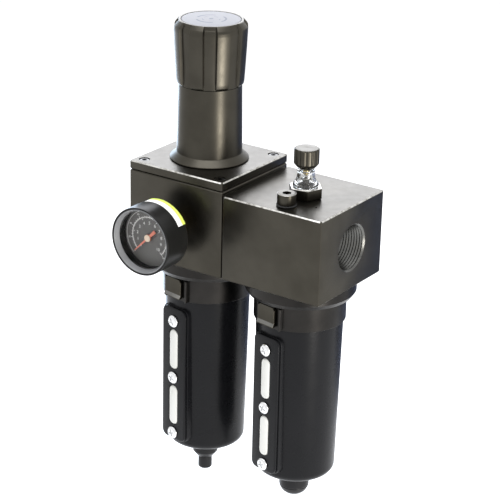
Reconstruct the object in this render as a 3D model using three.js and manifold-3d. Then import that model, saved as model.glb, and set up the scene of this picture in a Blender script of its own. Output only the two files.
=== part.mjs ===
// A compressed-air filter, regulator and lubricator, joined as one unit.
// Millimetres. +X is the way the air flows, -Y is the gauge side, +Z is up.
// The origin is the middle of the inlet port's mouth, on the left face of the filter regulator.

import * as THREE from 'three';
import { mergeVertices } from 'three/addons/utils/BufferGeometryUtils.js';
import Module from 'manifold-3d';

const wasm = await Module();
wasm.setup();

// Blocks
const BLOCK = 82.5; // width and depth of each block
const HALF = BLOCK / 2;
const GAP = 0.3; // clearance between pieces that touch
const EDGE = 0.8; // chamfer on the blocks' edges
const BLOCK_BOTTOM = -31.5;
const LUBRICATOR_TOP = 31.5;
const BODY_TOP = 34; // seam between the regulator's body and its cover plate
const COVER_TOP = 41;
const CORNER_SCREW = 33.5; // cover screws, from the axis in X and Y
const COUNTERBORE_FLOOR = 36.5;

// Ports
const PORT_RADIUS = 16.2;
const PORT_CHAMFER = 2.4;
const INLET_DEPTH = 21;
const OUTLET_DEPTH = 24;
const JOINT_BORE = 14; // bore that carries the air from block to block
const GAUGE_PORT = 6.8;

// Bowls: heights are measured in the unit's own frame
const NECK_RADIUS = 40.4;
const NECK_MOUTH = -42.5;
const NECK_BORE = 36;
const LUG_RADIUS = 37.5;
const LUG_COUNT = 3;
const LUG_ARC = 24; // degrees
const UNLOCK_TURN = 40; // degrees from locked to the entry slots
const COLLAR_RADIUS = 33.5;
const COLLAR_BOTTOM = -61.5;
const BOWL_TOP_RADIUS = 31.8;
const BOWL_LOW_RADIUS = 29.6;
const BOWL_BOTTOM = -186.5;
const BOWL_EDGE = 6; // rounding of the bowl's lower edge
const BOWL_WALL = 3;
const BOWL_BOSS_BOTTOM = -189;
const BOWL_ANGLE = -10; // degrees that the bowls are turned towards the inlet
const DRAIN_HOLE = 6.4;
const DRAIN_FLARE_BOTTOM = -203.1; // lower end of the drain body's flare
const UNIT_BOTTOM = -213; // lower end of the drain nozzle
const DRAIN_VENT_TOP = -206.8; // end of the nozzle's blind bore
const PLUG_BOTTOM = -207; // lower end of the oil bowl's drain plug

// Sight glass: "out" is the distance in front of the bowl's axis
const PAD_WIDTH = 26;
const PAD_LOW = -177.5;
const PAD_HIGH = -68.5;
const PAD_OUT = 32.2;
const FRAME_WIDTH = 24;
const FRAME_OUT = 34.3;
const LENS_WIDTH = 12.6;
const WINDOW_WIDTH = 9;
const WINDOW_LENGTH = 32.5;
const SCREW_HEIGHTS = [-79.5, -125.5, -171.5];
const WINDOW_HEIGHTS = [-102.5, -148.5];

// Spring bonnet and adjusting knob
const BONNET_FOOT = 28.8;
const BONNET_LOW = 23.8;
const BONNET_HIGH = 22.9;
const KNOB_BOTTOM = 97.5;
const KNOB_TOP = 144;
const KNOB_ROOF = 139.5; // underside of the knob's top
const KNOB_LOBES = 8;
const KNOB_RADIUS_LOW = 24.8;
const KNOB_RADIUS_HIGH = 26.9;
const LOBE_DEPTH = 2;
const LOBE_START = 11.8; // degrees from +X to the middle of the first lobe
const CAP_DISC = 21.2;
const NUT_BOTTOM = 80;
const NUT_TOP = 86;

// Gauge: "out" is the distance in front of the regulator's axis
const GAUGE_RADIUS = 25;
const GAUGE_BACK = 57;
const GAUGE_FRONT = 82.25;
const DIAL_OUT = 70;
const DIAL_RADIUS = 21.3;
const POINTER_ZERO = 225; // degrees clockwise from the top, seen from the front

// Sight feed and fill plug of the lubricator
const DOME_BASE_CORNER = 12.4;
const DOME_BASE_TOP = 39.5;
const DOME_TOP = 52.5;
const OIL_KNOB_RADIUS = 9;
const OIL_KNOB_TOP = 67.5;
const FEED_AT = [4.5, -5]; // axis of the dome, oil needle and oil knob
const FILL_PLUG_AT = [4, -28];
const FILL_PLUG_HEAD = 7.6;
const SIPHON_Y = 19;

const ROUND = 20; // sides of the large turned pieces
const SMALL = 12; // sides of the small ones

// colour, roughness, metalness
const FINISHES = {
  anodised: [0x4a4740, 0.32, 0.85],
  black_paint: [0x1b1c1f, 0.35, 0.3],
  zinc: [0xd6d7d8, 0.3, 0.95],
  brass: [0xb59a55, 0.35, 0.95],
  steel: [0x9a9c9f, 0.35, 0.95],
  black_steel: [0x16161a, 0.4, 0.4],
  clear: [0xe9eef2, 0.08, 0.0],
  rubber: [0x1a1a1a, 0.85, 0.0],
  white_plastic: [0xe8e8e4, 0.5, 0.0],
  dial_face: [0x1d1c1c, 0.6, 0.0],
  pointer_red: [0xd8402a, 0.5, 0.0],
  knob_disc: [0xc9cbd2, 0.25, 0.6],
  sintered: [0xb8ae98, 0.9, 0.1],
};

// ---- making, joining and cutting solids ----

function outwards(corners, indices) {
  let volume = 0;
  const at = (i) => new THREE.Vector3().fromArray(corners, 3 * indices[i]);
  for (let i = 0; i < indices.length; i += 3) volume += at(i).dot(at(i + 1).cross(at(i + 2)));
  if (volume > 0) return indices;
  for (let i = 0; i < indices.length; i += 3) {
    [indices[i], indices[i + 1]] = [indices[i + 1], indices[i]];
  }
  return indices;
}

function toSolid(shape) {
  const bare = shape.clone();
  bare.deleteAttribute('normal');
  bare.deleteAttribute('uv');
  const merged = mergeVertices(bare, 1e-4);
  const corners = merged.attributes.position.array;
  const kept = [];
  const all = merged.index.array;
  for (let i = 0; i < all.length; i += 3) {
    const [a, b, c] = [all[i], all[i + 1], all[i + 2]];
    if (a !== b && b !== c && c !== a) kept.push(a, b, c);
  }
  return new wasm.Manifold(new wasm.Mesh({
    numProp: 3,
    vertProperties: Float32Array.from(corners),
    triVerts: Uint32Array.from(outwards(corners, kept)),
  }));
}

function toGeometry(manifold) {
  const mesh = manifold.getMesh();
  const shape = new THREE.BufferGeometry();
  shape.setAttribute('position', new THREE.BufferAttribute(mesh.vertProperties, 3));
  shape.setIndex(new THREE.BufferAttribute(mesh.triVerts, 1));
  shape.computeVertexNormals();
  return shape;
}

function join(...shapes) {
  return toGeometry(shapes.map(toSolid).reduce((whole, next) => whole.add(next)));
}

function cut(shape, ...tools) {
  return toGeometry(tools.map(toSolid).reduce((whole, tool) => whole.subtract(tool), toSolid(shape)));
}

function turned(profile, sides = ROUND) {
  const points = profile.map(([radius, height]) => new THREE.Vector2(radius, height));
  if (profile[0][0] > 0) points.push(points[0].clone());
  return new THREE.LatheGeometry(points, sides).rotateX(Math.PI / 2);
}

function rod(radius, low, high, sides = SMALL) {
  return turned([[0, low], [radius, low], [radius, high], [0, high]], sides);
}

function ring(inner, outer, low, high, sides = ROUND) {
  return turned([[inner, low], [outer, low], [outer, high], [inner, high]], sides);
}

function brick(low, high) {
  const [x, y, z] = high.map((value, i) => value - low[i]);
  const middle = high.map((value, i) => (value + low[i]) / 2);
  return new THREE.BoxGeometry(x, y, z).translate(...middle);
}

// The turned shape's axis points to +X, to -Y (the front) or to +Y (the back).
const alongX = (shape) => shape.rotateY(Math.PI / 2);
const toFront = (shape) => shape.rotateX(Math.PI / 2);
const toBack = (shape) => shape.rotateX(-Math.PI / 2);

function roundedRectangle(width, height, corner) {
  const [x, y] = [width / 2, height / 2];
  const outline = new THREE.Shape();
  outline.absarc(x - corner, y - corner, corner, 0, Math.PI / 2);
  outline.absarc(-x + corner, y - corner, corner, Math.PI / 2, Math.PI);
  outline.absarc(-x + corner, -y + corner, corner, Math.PI, 1.5 * Math.PI);
  outline.absarc(x - corner, -y + corner, corner, 1.5 * Math.PI, 2 * Math.PI);
  return outline;
}

// An upright plate that faces the front, between two distances from the axis.
function frontPlate(width, low, high, back, front, corner) {
  const settings = { depth: front - back, bevelEnabled: false, curveSegments: 3 };
  const plate = new THREE.ExtrudeGeometry(roundedRectangle(width, high - low, corner), settings);
  return toFront(plate.translate(0, 0, back)).translate(0, 0, (low + high) / 2);
}

function chamferedBlock(left, right, low, high) {
  const settings = {
    depth: high - low - 2 * EDGE,
    bevelEnabled: true,
    bevelThickness: EDGE,
    bevelSize: EDGE,
    bevelSegments: 1,
    curveSegments: 1,
  };
  const outline = roundedRectangle(right - left - 2 * EDGE, BLOCK - 2 * EDGE, EDGE);
  const block = new THREE.ExtrudeGeometry(outline, settings);
  return block.translate((left + right) / 2, 0, low + EDGE);
}

function hexagon(corner, low, high) {
  return turned([[0, low], [corner, low], [corner, high], [0, high]], 6);
}

function sector(inner, outer, middle, arc, low, high) {
  const [from, to] = [middle - arc / 2, middle + arc / 2].map(THREE.MathUtils.degToRad);
  const outline = new THREE.Shape();
  outline.absarc(0, 0, outer, from, to, false);
  outline.absarc(0, 0, inner, to, from, true);
  const settings = { depth: high - low, bevelEnabled: false, curveSegments: 3 };
  return new THREE.ExtrudeGeometry(outline, settings).translate(0, 0, low);
}

class Coil extends THREE.Curve {
  constructor(radius, low, high, turns, radiusAtStart = radius) {
    super();
    Object.assign(this, { radius, low, high, turns, radiusAtStart });
  }

  getPoint(t, target = new THREE.Vector3()) {
    const angle = 2 * Math.PI * this.turns * t;
    const radius = THREE.MathUtils.lerp(this.radiusAtStart, this.radius, Math.min(1, 4 * t));
    const height = THREE.MathUtils.lerp(this.low, this.high, t);
    return target.set(radius * Math.cos(angle), radius * Math.sin(angle), height);
  }
}

function wire(path, radius, steps, sides = 4) {
  const outline = new THREE.Shape();
  for (let i = 0; i <= sides; i += 1) {
    const angle = (2 * Math.PI * i) / sides;
    const point = [radius * Math.cos(angle), radius * Math.sin(angle)];
    if (i === 0) outline.moveTo(...point);
    else outline.lineTo(...point);
  }
  return new THREE.ExtrudeGeometry(outline, { extrudePath: path, steps, curveSegments: 1 });
}

function coilSpring(radius, wireRadius, low, high, turns) {
  return wire(new Coil(radius, low + wireRadius, high - wireRadius, turns), wireRadius, turns * 8);
}

function sealRing(radius, section, height) {
  const profile = [];
  for (let i = 0; i < 6; i += 1) {
    const angle = (Math.PI * i) / 3;
    profile.push([radius + section * Math.cos(angle), height + section * Math.sin(angle)]);
  }
  return turned(profile);
}

// A screw with a hexagon socket, standing up along +Z with its head on seatHeight.
function socketScrew(headRadius, headHeight, shankRadius, shankEnd, seatHeight, socket) {
  const top = seatHeight + headHeight;
  const profile = [
    [0, shankEnd], [shankRadius, shankEnd], [shankRadius, seatHeight],
    [headRadius, seatHeight], [headRadius, top - 0.5], [headRadius - 0.5, top], [0, top],
  ];
  return cut(turned(profile, SMALL), hexagon(socket, top - headHeight * 0.6, top + 1));
}

function addPiece(group, name, shape, finish) {
  const [color, roughness, metalness] = FINISHES[finish];
  const mesh = new THREE.Mesh(shape, new THREE.MeshStandardMaterial({ color, roughness, metalness }));
  mesh.name = name;
  group.add(mesh);
}

// ---- pieces that both blocks share ----

// A tapered mouth and a straight bore, from height 0 inwards along +Z.
function portCutter(depth) {
  const mouth = PORT_RADIUS + PORT_CHAMFER;
  return turned([[0, -1], [mouth, -1], [PORT_RADIUS, 1.2], [PORT_RADIUS, depth], [0, depth]]);
}

// The round neck under a block, which the bowl's bayonet collar turns into.
function neck() {
  return turned([
    [0, NECK_MOUTH], [38, NECK_MOUTH], [NECK_RADIUS, -39], [NECK_RADIUS, BLOCK_BOTTOM + 2],
    [0, BLOCK_BOTTOM + 2],
  ]);
}

function lugAngles(offset) {
  return Array.from({ length: LUG_COUNT }, (_, i) => offset + (360 / LUG_COUNT) * i);
}

function neckCutters() {
  const mouth = NECK_MOUTH - 1;
  const bore = turned([[0, mouth], [NECK_BORE, mouth], [NECK_BORE, -29.6], [30, -29.6], [30, -24], [0, -24]]);
  const groove = ring(NECK_BORE - 1, LUG_RADIUS + 0.8, -40.1, -36.3);
  const slots = lugAngles(30 + BOWL_ANGLE + UNLOCK_TURN).map((angle) => (
    sector(NECK_BORE - 2, LUG_RADIUS + 0.8, angle, LUG_ARC + 6, mouth, -39)));
  return [bore, groove, ...slots];
}

function bowlShell() {
  const arc = [];
  const centre = [BOWL_LOW_RADIUS - BOWL_EDGE, BOWL_BOTTOM + 1 + BOWL_EDGE];
  for (const degrees of [0, 22.5, 45, 67.5, 84]) {
    const angle = THREE.MathUtils.degToRad(degrees);
    arc.push([centre[0] + BOWL_EDGE * Math.cos(angle), centre[1] - BOWL_EDGE * Math.sin(angle)]);
  }
  const flange = 35.2;
  const outside = turned([
    [0, -32.7], [flange, -32.7], [flange, -36.2], [BOWL_TOP_RADIUS, -36.2], [BOWL_TOP_RADIUS, -63],
    ...arc, [10.5, BOWL_BOTTOM], [10.5, BOWL_BOSS_BOTTOM], [0, BOWL_BOSS_BOTTOM],
  ]);
  const floor = BOWL_BOTTOM + BOWL_WALL + 0.5;
  const inside = turned([
    [0, -32], [BOWL_TOP_RADIUS - BOWL_WALL, -32], [BOWL_TOP_RADIUS - BOWL_WALL, -66],
    [BOWL_LOW_RADIUS - BOWL_WALL, floor + 5], [BOWL_LOW_RADIUS - BOWL_WALL - 4, floor + 1], [0, floor],
  ]);
  const cavity = cut(inside, brick([-14, -40, PAD_LOW - 2], [14, -25.5, PAD_HIGH + 2]));
  const pad = frontPlate(PAD_WIDTH, PAD_LOW, PAD_HIGH, 20, PAD_OUT, 5);
  const pocket = frontPlate(LENS_WIDTH + 2 * GAP, PAD_LOW + 1.5, PAD_HIGH - 6.5, 29.5, PAD_OUT + 1, 4);
  const sightSlots = WINDOW_HEIGHTS.map((height) => (
    frontPlate(8, height - WINDOW_LENGTH / 2, height + WINDOW_LENGTH / 2, 20, 31, 3.5)));
  const screwHoles = SCREW_HEIGHTS.map((height) => toFront(rod(2.2, 27, 33, 8)).translate(0, 0, height));
  const drainHole = rod(DRAIN_HOLE, BOWL_BOSS_BOTTOM - 1, floor + 2);
  return cut(join(outside, pad), cavity, pocket, ...sightSlots, ...screwHoles, drainHole);
}

function bayonetCollar() {
  const inner = BOWL_TOP_RADIUS + GAP;
  const sleeve = turned([
    [inner, COLLAR_BOTTOM], [COLLAR_RADIUS, COLLAR_BOTTOM], [COLLAR_RADIUS, -43.6],
    [NECK_BORE - 0.6, -42.8], [NECK_BORE - 0.6, -36.5], [inner, -36.5],
  ]);
  const lugs = lugAngles(30).map((angle) => sector(NECK_BORE - 1.5, LUG_RADIUS, angle, LUG_ARC, -39.7, -36.7));
  const housing = brick([-9.5, -34.8, COLLAR_BOTTOM], [13, -31, -43.8]);
  const bore = rod(inner, COLLAR_BOTTOM - 1, -36, ROUND);
  const latchWay = brick([-8.3, -40, COLLAR_BOTTOM - 1], [11.6, -33, -43.9]);
  return cut(join(sleeve, ...lugs, cut(housing, bore)), latchWay);
}

function thumbLatch() {
  const slide = brick([-8, -35.6, -58.9], [8, -33 - GAP, -44.3]);
  const lip = brick([-8, -37, -59.3], [8, -35.2, -56.2]);
  return join(slide, lip);
}

function sightLens() {
  const low = PAD_LOW + 1.8;
  const high = PAD_HIGH - 6.8;
  const strip = frontPlate(LENS_WIDTH, low, high, 29.5 + GAP, PAD_OUT, 4);
  const windows = WINDOW_HEIGHTS.map((height) => {
    const reach = WINDOW_LENGTH / 2 - GAP;
    return frontPlate(WINDOW_WIDTH - 2 * GAP, height - reach, height + reach, 31, FRAME_OUT + 0.5, 3.8);
  });
  const holes = SCREW_HEIGHTS.map((height) => toFront(rod(2.3, 28, 34, 8)).translate(0, 0, height));
  return cut(join(strip, ...windows), ...holes);
}

function sightFrame() {
  const plate = frontPlate(FRAME_WIDTH, PAD_LOW + 0.5, PAD_HIGH - 0.5, PAD_OUT + GAP, FRAME_OUT, 5);
  const windows = WINDOW_HEIGHTS.map((height) => {
    const reach = WINDOW_LENGTH / 2;
    return frontPlate(WINDOW_WIDTH, height - reach, height + reach, 31, FRAME_OUT + 1, 4);
  });
  const holes = SCREW_HEIGHTS.map((height) => toFront(rod(2.3, 31, 36, 8)).translate(0, 0, height));
  return cut(plate, ...windows, ...holes);
}

function panScrew(height) {
  const seat = FRAME_OUT + GAP;
  const body = turned([
    [0, 27.3], [1.9, 27.3], [1.9, seat], [4.7, seat], [4.7, seat + 1], [3.4, seat + 2], [0, seat + 2],
  ], SMALL);
  return toFront(body).translate(0, 0, height);
}

// The pieces that turn with a bowl, without what closes its lowest hole.
function addBowl(unit, bowlName, prefix) {
  const bowl = new THREE.Group();
  bowl.rotation.z = THREE.MathUtils.degToRad(BOWL_ANGLE);
  unit.add(bowl);
  addPiece(bowl, bowlName, bowlShell(), 'black_paint');
  addPiece(bowl, `${bowlName}_seal`, sealRing(32.5, 1.25, -31.15), 'rubber');
  addPiece(bowl, `${bowlName}_collar`, bayonetCollar(), 'anodised');
  addPiece(bowl, `${bowlName}_latch`, thumbLatch(), 'anodised');
  addPiece(bowl, `${prefix}_sight_lens`, sightLens(), 'clear');
  addPiece(bowl, `${prefix}_sight_frame`, sightFrame(), 'black_paint');
  SCREW_HEIGHTS.forEach((height, i) => {
    addPiece(bowl, `${prefix}_sight_screw_${i + 1}`, panScrew(height), 'zinc');
  });
}

// ---- filter regulator, in a frame on its own axis ----

function regulatorBody() {
  const right = HALF - GAP / 2;
  const outside = join(chamferedBlock(-HALF, right, BLOCK_BOTTOM, BODY_TOP), neck());
  const [neckBore, ...neckCuts] = neckCutters();
  const spigotKept = cut(neckBore, ring(15, 19.5, -30, -23));
  const inlet = alongX(portCutter(INLET_DEPTH)).translate(-HALF, 0, 0);
  const inletDrop = brick([-30, -8, -25], [-21.5, 8, -8]);
  const cleanChamber = rod(16, -31, -2, ROUND);
  const seatHole = rod(8, -3, 3);
  const outletChamber = rod(17, 2, 21, ROUND);
  const outletBore = alongX(rod(JOINT_BORE, 24, HALF + 1, ROUND));
  const outletWindow = brick([12, -7, 4], [26, 7, 13]);
  const sealGroove = alongX(ring(16.5, 20.5, HALF - 3.2, HALF + 1, ROUND));
  const stemBore = rod(3, 20, 27, 12);
  const diaphragmSpace = rod(29, 26, 32, ROUND);
  const diaphragmRecess = rod(33.3, 31, BODY_TOP + 1, ROUND);
  const gaugePorts = [toFront, toBack].flatMap((turn) => [
    turn(rod(GAUGE_PORT, 24, HALF + 1)),
    turn(rod(2.4, 14, 25, 12)).translate(0, 0, 4.4),
  ]);
  const screwHoles = cornerPlaces().map(([x, y]) => rod(2.6, 14, BODY_TOP + 1, 8).translate(x, y, 0));
  return cut(
    outside, spigotKept, ...neckCuts, inlet, inletDrop, cleanChamber, seatHole, outletChamber, outletBore,
    outletWindow, sealGroove, stemBore, diaphragmSpace, diaphragmRecess, ...gaugePorts, ...screwHoles,
  );
}

function cornerPlaces() {
  return [[-1, -1], [1, -1], [1, 1], [-1, 1]].map((signs) => signs.map((sign) => sign * CORNER_SCREW));
}

function coverPlate() {
  const plate = chamferedBlock(-HALF, HALF - GAP / 2, BODY_TOP + GAP, COVER_TOP);
  const clampRing = ring(24, 32.9, 33, BODY_TOP + 1);
  const holes = cornerPlaces().flatMap(([x, y]) => [
    rod(4, COUNTERBORE_FLOOR, COVER_TOP + 1).translate(x, y, 0),
    rod(2.6, BODY_TOP, COVER_TOP, 8).translate(x, y, 0),
  ]);
  return cut(join(plate, clampRing), rod(21, 32, COVER_TOP + 1, ROUND), ...holes);
}

function springBonnet() {
  const foot = COVER_TOP + GAP;
  const neckRadius = 17.5;
  const shell = turned([
    [19, 36.5], [20.7, 36.5], [20.7, foot], [BONNET_FOOT, foot], [BONNET_LOW, foot + 5],
    [BONNET_HIGH, KNOB_BOTTOM - GAP], [neckRadius, KNOB_BOTTOM - GAP], [neckRadius, 103], [5.6, 103],
    [5.6, 98], [14, 98], [14, 93], [19, 88],
  ]);
  const key = brick([-1.5, 17.2, 60], [1.5, 19.8, 90]);
  return join(shell, key);
}

function lobedOutline(radius) {
  const outline = new THREE.Shape();
  const pitch = 360 / KNOB_LOBES;
  const profile = [[-12, 0], [-4, 0], [4, 0], [12, 0], [15, LOBE_DEPTH], [30, LOBE_DEPTH]];
  for (let lobe = 0; lobe < KNOB_LOBES; lobe += 1) {
    for (const [degrees, depth] of profile) {
      const angle = THREE.MathUtils.degToRad(LOBE_START + lobe * pitch + degrees);
      const point = [(radius - depth) * Math.cos(angle), (radius - depth) * Math.sin(angle)];
      if (outline.curves.length === 0 && lobe === 0 && degrees === -12) outline.moveTo(...point);
      else outline.lineTo(...point);
    }
  }
  outline.closePath();
  return outline;
}

function adjustingKnob() {
  const settings = { depth: KNOB_TOP - KNOB_BOTTOM, bevelEnabled: false };
  const grip = new THREE.ExtrudeGeometry(lobedOutline(KNOB_RADIUS_HIGH), settings).translate(0, 0, KNOB_BOTTOM);
  const places = grip.attributes.position;
  for (let i = 0; i < places.count; i += 1) {
    const ratio = places.getZ(i) > KNOB_BOTTOM + 1 ? 1 : KNOB_RADIUS_LOW / KNOB_RADIUS_HIGH;
    places.setXY(i, places.getX(i) * ratio, places.getY(i) * ratio);
  }
  const shoulder = turned([
    [23, KNOB_TOP + 1], [30, KNOB_TOP + 1], [30, KNOB_TOP - 4], [KNOB_RADIUS_HIGH, KNOB_TOP - 4],
    [23, KNOB_TOP],
  ]);
  const hollow = rod(18, KNOB_BOTTOM - 1, KNOB_ROOF, ROUND);
  const boss = rod(8.5, 103.4, KNOB_ROOF + 1.5);
  const insides = cut(hollow, boss);
  const screwHole = rod(5.1, 103, 119);
  return cut(grip, shoulder, insides, screwHole, rod(CAP_DISC + GAP, KNOB_TOP - 1.5, KNOB_TOP + 1, ROUND));
}

function adjustingScrew() {
  return turned([[0, 62], [4.8, 62], [4.8, 94], [9, 94],
    [9, 97.7], [4.8, 97.7], [4.8, 118.5], [0, 118.5]], SMALL);
}

function springNut() {
  const keyway = brick([-2, 16.7, NUT_BOTTOM - 1], [2, 20, NUT_TOP + 1]);
  return cut(ring(5.1, 18.4, NUT_BOTTOM, NUT_TOP), keyway);
}

function diaphragmDisc() {
  return turned([
    [5, 31.9], [22, 31.9], [25.2, 30.4], [28.5, 31.3], [32.7, 31.3],
    [32.7, 32.7], [28, 32.7], [25.2, 31.6], [22.4, 33.1], [5, 33.1],
  ], SMALL);
}

function diaphragmPlate() {
  return turned([[0, 28.9], [12, 28.9], [12, 31.6], [4.7, 31.6],
    [4.7, 33.4], [17.5, 33.4], [17.5, 35], [0, 35]],
    SMALL);
}

function valvePoppet() {
  return turned([
    [0, -20], [2.9, -20], [2.9, -5.3], [10.5, -5.3], [10.5, -2.3], [2.2, -2.3], [2.2, 28.6], [0, 28.6],
  ], SMALL);
}

function valveGuide() {
  const guide = turned([
    [0, -25], [3.3, -25], [3.3, -17], [15.7, -17], [15.7, -22], [6, -22],
    [6, -30], [3.3, -30], [3.3, -26], [0, -26],
  ], SMALL);
  const airHoles = [0, 120, 240].map((degrees) => (
    rod(3, -23, -16, 8).translate(9.8, 0, 0).rotateZ(THREE.MathUtils.degToRad(degrees))));
  return cut(guide, ...airHoles);
}

function airDeflector() {
  const body = turned([[19.8, -36], [21.6, -36], [21.6, -27], [28, -27], [28, -24.6], [19.8, -24.6]]);
  const swirlSlots = Array.from({ length: 8 }, (_, i) => (
    brick([-2, 22.6, -5], [2, 30, 5]).rotateY(0.6).translate(0, 0, -25.8).rotateZ((Math.PI * i) / 4)));
  return cut(body, ...swirlSlots);
}

function elementRetainer() {
  return turned([
    [0, -97], [10, -97], [22, -92], [22, -90.5], [5, -89.5], [3, -89.5], [3, -27], [0, -27],
  ], SMALL);
}

function addRegulator(whole) {
  const unit = new THREE.Group();
  unit.position.x = HALF;
  whole.add(unit);
  addPiece(unit, 'filter_regulator_body', regulatorBody(), 'anodised');
  addPiece(unit, 'cover_plate', coverPlate(), 'anodised');
  cornerPlaces().forEach(([x, y], i) => {
    const screw = socketScrew(3.7, 3.8, 2.3, 16, COUNTERBORE_FLOOR + GAP, 1.9).translate(x, y, 0);
    addPiece(unit, `cover_screw_${i + 1}`, screw, 'steel');
  });
  addPiece(unit, 'spring_bonnet', springBonnet(), 'anodised');
  addPiece(unit, 'adjusting_knob', adjustingKnob(), 'anodised');
  addPiece(unit, 'knob_cap_disc', rod(CAP_DISC, KNOB_TOP - 1.2, KNOB_TOP, ROUND), 'knob_disc');
  addPiece(unit, 'adjusting_screw', adjustingScrew(), 'steel');
  addPiece(unit, 'spring_nut', springNut(), 'brass');
  addPiece(unit, 'range_spring', coilSpring(13, 1.8, 35.4, NUT_BOTTOM - GAP, 6), 'steel');
  addPiece(unit, 'diaphragm', diaphragmDisc(), 'rubber');
  addPiece(unit, 'diaphragm_plate', diaphragmPlate(), 'brass');
  addPiece(unit, 'valve_poppet', valvePoppet(), 'brass');
  addPiece(unit, 'valve_spring', coilSpring(6.5, 0.8, -16.6, -5.7, 4), 'steel');
  addPiece(unit, 'valve_guide', valveGuide(), 'brass');
  addPiece(unit, 'air_deflector', airDeflector(), 'white_plastic');
  addPiece(unit, 'filter_element', ring(10, 15, -89, -36.3, SMALL), 'sintered');
  addPiece(unit, 'element_retainer', elementRetainer(), 'white_plastic');
  addBowl(unit, 'filter_bowl', 'filter');
  addDrain(unit);
  addGauge(unit);
  addPiece(unit, 'rear_port_plug', toBack(cut(rod(6.5, 27, 40.8), hexagon(3.6, 35, 42))), 'steel');
}

function addDrain(unit) {
  const seat = BOWL_BOSS_BOTTOM - GAP;
  const body = turned([
    [2.8, DRAIN_FLARE_BOTTOM], [5.8, DRAIN_FLARE_BOTTOM], [9.6, seat - 9.1], [9.6, seat], [6.1, seat],
    [6.1, seat + 6.5], [2.8, seat + 6.5],
  ], 16);
  addPiece(unit, 'drain_body', body, 'black_steel');
  const top = DRAIN_FLARE_BOTTOM - GAP;
  const nozzle = turned([
    [0, DRAIN_VENT_TOP], [1.6, DRAIN_VENT_TOP], [1.6, UNIT_BOTTOM], [4.8, UNIT_BOTTOM],
    [5.3, UNIT_BOTTOM + 0.6], [5.3, top], [2.4, top], [2.4, seat + 5], [0, seat + 5],
  ], 16);
  addPiece(unit, 'drain_knob', nozzle, 'black_steel');
}

function gaugeStem() {
  const stem = turned([
    [1.5, 25], [6.4, 25], [6.4, 41.6], [5.6, 41.6], [5.6, 43.4], [5, 43.4], [5, 58.6],
    [7, 58.6], [7, 61.6], [1.5, 61.6],
  ], SMALL);
  return toFront(join(stem, cut(hexagon(8.1, 43, 50), rod(4.5, 42, 51))));
}

function gaugeLens() {
  return toFront(turned([
    [0, 75.8], [21.6, 75.8], [23.4, 79.8], [23.4, GAUGE_FRONT - GAP], [22.7, GAUGE_FRONT - GAP], [20.8, 77.3],
    [0, 77.3],
  ]));
}

function gaugeCase() {
  return toFront(turned([
    [5.4, GAUGE_BACK], [23, GAUGE_BACK], [24.6, GAUGE_BACK + 1], [GAUGE_RADIUS, GAUGE_BACK + 3],
    [GAUGE_RADIUS, GAUGE_FRONT - 0.8], [GAUGE_RADIUS - 0.5, GAUGE_FRONT], [23.8, GAUGE_FRONT],
    [23.8, GAUGE_BACK + 3],
    [22.6, GAUGE_BACK + 1.2], [5.4, GAUGE_BACK + 1.2],
  ]));
}

function gaugePointer() {
  const needle = new THREE.Shape([[-1.1, -7.5], [1.1, -7.5], [0.7, 0], [0.3, 16.5], [-0.3, 16.5], [-0.7, 0]]
    .map(([x, y]) => new THREE.Vector2(x, y)));
  const blade = new THREE.ExtrudeGeometry(needle, { depth: 0.6, bevelEnabled: false }).translate(0, 0, 72.4);
  const shaft = turned([[0, 64], [0.9, 64], [0.9, 72], [2.7, 72], [2.7, 73.6], [0, 74]], SMALL);
  return toFront(join(blade.rotateZ(-THREE.MathUtils.degToRad(POINTER_ZERO)), shaft));
}

function addGauge(unit) {
  addPiece(unit, 'gauge_stem', gaugeStem(), 'brass');
  addPiece(unit, 'gauge_case', gaugeCase(), 'black_steel');
  addPiece(unit, 'gauge_lens', gaugeLens(), 'clear');
  addPiece(unit, 'gauge_dial', toFront(ring(1.6, DIAL_RADIUS, DIAL_OUT, DIAL_OUT + 0.8)), 'dial_face');
  addPiece(unit, 'gauge_pointer', gaugePointer(), 'pointer_red');
  const tube = wire(new Coil(16, 60.5, 66.5, 0.8, 8.8), 1.3, 18, 6);
  addPiece(unit, 'gauge_tube', toFront(tube), 'brass');
}

// ---- lubricator, in a frame on its own axis ----

function lubricatorBody() {
  const left = -HALF + GAP / 2;
  const outside = join(chamferedBlock(left, HALF, BLOCK_BOTTOM, LUBRICATOR_TOP), neck());
  const mainBore = alongX(rod(JOINT_BORE, -HALF - 1, HALF - OUTLET_DEPTH + 1, ROUND));
  const outlet = alongX(portCutter(OUTLET_DEPTH)).rotateZ(Math.PI).translate(HALF, 0, 0);
  const domeRecess = rod(8.3, 20, LUBRICATOR_TOP + 1).translate(...FEED_AT, 0);
  const dripHole = rod(1.8, 12, 21, 12).translate(...FEED_AT, 0);
  const [fillX, fillY] = FILL_PLUG_AT;
  const fillHole = rod(5.2, -25, LUBRICATOR_TOP + 1).translate(fillX, fillY, 0);
  const siphonHole = rod(2.1, -25, 25.5, 12).translate(0, SIPHON_Y, 0);
  const gallery = toBack(rod(1.4, 1, SIPHON_Y + 0.5, 12)).translate(0, 0, 24);
  return cut(
    outside, ...neckCutters(), mainBore, outlet, domeRecess, dripHole, fillHole, siphonHole, gallery,
  );
}

function domeBase() {
  const spindle = turned([
    [1.1, 20.4], [7.9, 20.4], [7.9, LUBRICATOR_TOP + GAP], [9.6, LUBRICATOR_TOP + GAP],
    [9.6, DOME_BASE_TOP], [8.4, DOME_BASE_TOP], [8.4, 35], [3, 35], [2.4, 45], [1.1, 46],
  ], SMALL);
  const nut = cut(hexagon(DOME_BASE_CORNER, LUBRICATOR_TOP + GAP, DOME_BASE_TOP), rod(9, 30, 42));
  return join(spindle, nut);
}

function sightDome() {
  return turned([
    [7.9, 35.3], [7.9, 39.5], [8.9, 40], [8.9, 41.2], [6.4, 45.5], [6.2, DOME_TOP], [2.8, DOME_TOP],
    [2.8, DOME_TOP - 1.6], [4.9, 50.4], [5, 45], [6.6, 41], [6.6, 35.3],
  ], 16);
}

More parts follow.
